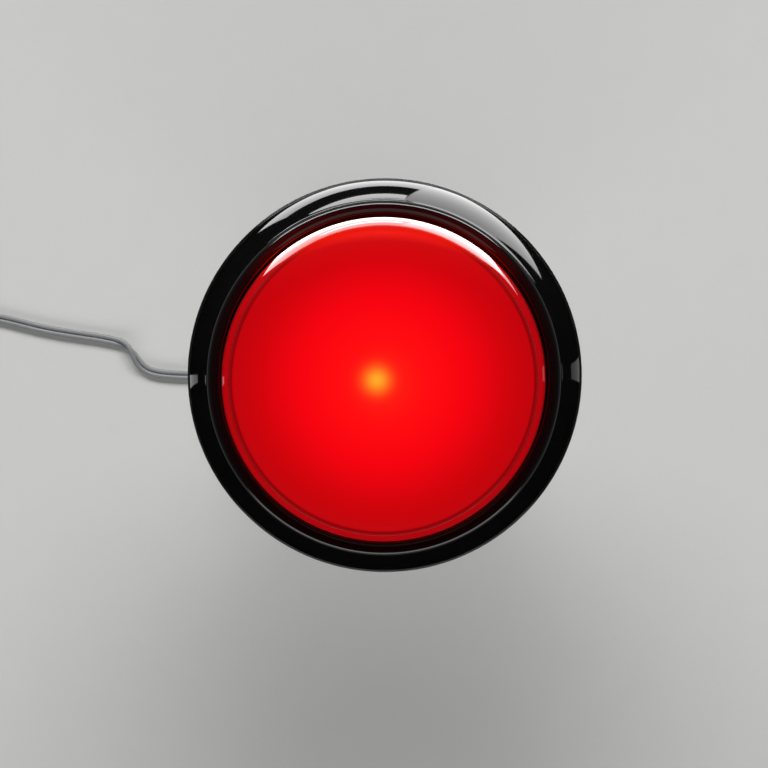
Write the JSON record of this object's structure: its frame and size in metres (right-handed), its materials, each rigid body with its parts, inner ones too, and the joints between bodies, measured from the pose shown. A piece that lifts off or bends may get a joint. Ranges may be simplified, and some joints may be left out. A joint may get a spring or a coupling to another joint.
{
  "type": "illuminated dome push button",
  "caption": "Large round panel push button: glossy black bezel, lit translucent red dome on a sprung plunger, threaded stem with nut, lamp holder, lever micro-switch and a coiled lamp lead.",
  "frame": {"origin": "on the stem's axis in the plane of the bezel's seat on the panel", "axes": "+Z along the press axis, out of the panel towards the dome; +Y towards the micro-switch; -X the way the lamp lead and the switch's side tabs point"},
  "size_m": [0.1978, 0.1, 0.1047],
  "materials": {
    "bezel_black": "glossy black moulded plastic",
    "dome_red": "translucent red moulded plastic, lit from inside",
    "carrier_white": "white moulded plastic",
    "spring_steel": "drawn spring wire",
    "nut_black": "black nylon",
    "holder_black": "black nylon",
    "lamp_white": "white plastic wedge base",
    "led_clear": "clear epoxy",
    "tinned_wire": "tinned wire",
    "tab_brass": "stamped brass",
    "switch_black": "black thermoset",
    "button_white": "white plastic",
    "lever_steel": "stamped stainless strip",
    "sleeve_clear": "soft translucent sleeve",
    "lead_grey": "grey insulated wire pair",
    "plug_white": "natural nylon plug",
    "tie_black": "black nylon tie"
  },
  "bodies": {
    "housing": {"bezel_housing": "bezel_black", "return_spring": "spring_steel", "switch_blade": "spring_steel", "panel_nut": "nut_black", "lamp_holder": "holder_black", "lamp_base": "lamp_white", "lamp_led": "led_clear", "lamp_leads": "tinned_wire", "plug_pins": "tinned_wire", "lamp_contact_upper": "tab_brass", "lamp_contact_lower": "tab_brass", "receptacle_upper": "tab_brass", "receptacle_lower": "tab_brass", "switch_tab_common": "tab_brass", "switch_tab_open": "tab_brass", "switch_tab_closed": "tab_brass", "switch_case": "switch_black", "switch_cover": "switch_black", "lever_pin": "lever_steel", "sleeve_upper": "sleeve_clear", "sleeve_lower": "sleeve_clear", "lead_tail_upper": "lead_grey", "lead_tail_lower": "lead_grey", "lead_run": "lead_grey", "lead_coil": "lead_grey", "lead_end": "lead_grey", "lead_plug": "plug_white", "lead_tie": "tie_black"},
    "plunger": {"dome_lens": "dome_red", "plunger_plate": "carrier_white"},
    "lever": {"switch_lever": "lever_steel"},
    "switch_plunger": {"switch_button": "button_white"}
  },
  "joints": [
    {"name": "press", "type": "slide", "parent": "housing", "child": "plunger", "axis": [0, 0, -1], "range_m": [0, 0.004], "stiffness_N_per_m": 800, "springref_m": -0.005, "deforming": ["return_spring"]},
    {"name": "lever_swing", "type": "hinge", "parent": "housing", "child": "lever", "pos_m": [0.014, 0.0086, -0.04044], "axis": [0, -1, 0], "range_deg": [0, 17]},
    {"name": "switch_push", "type": "slide", "parent": "housing", "child": "switch_plunger", "axis": [0, 0, -1], "range_m": [0, 0.00145], "deforming": ["switch_blade"]}
  ],
  "couplings": [
    {"joint": "lever_swing", "follows": "press", "rad_per_m": 70.87},
    {"joint": "switch_push", "follows": "press", "ratio": 0.35}
  ]
}
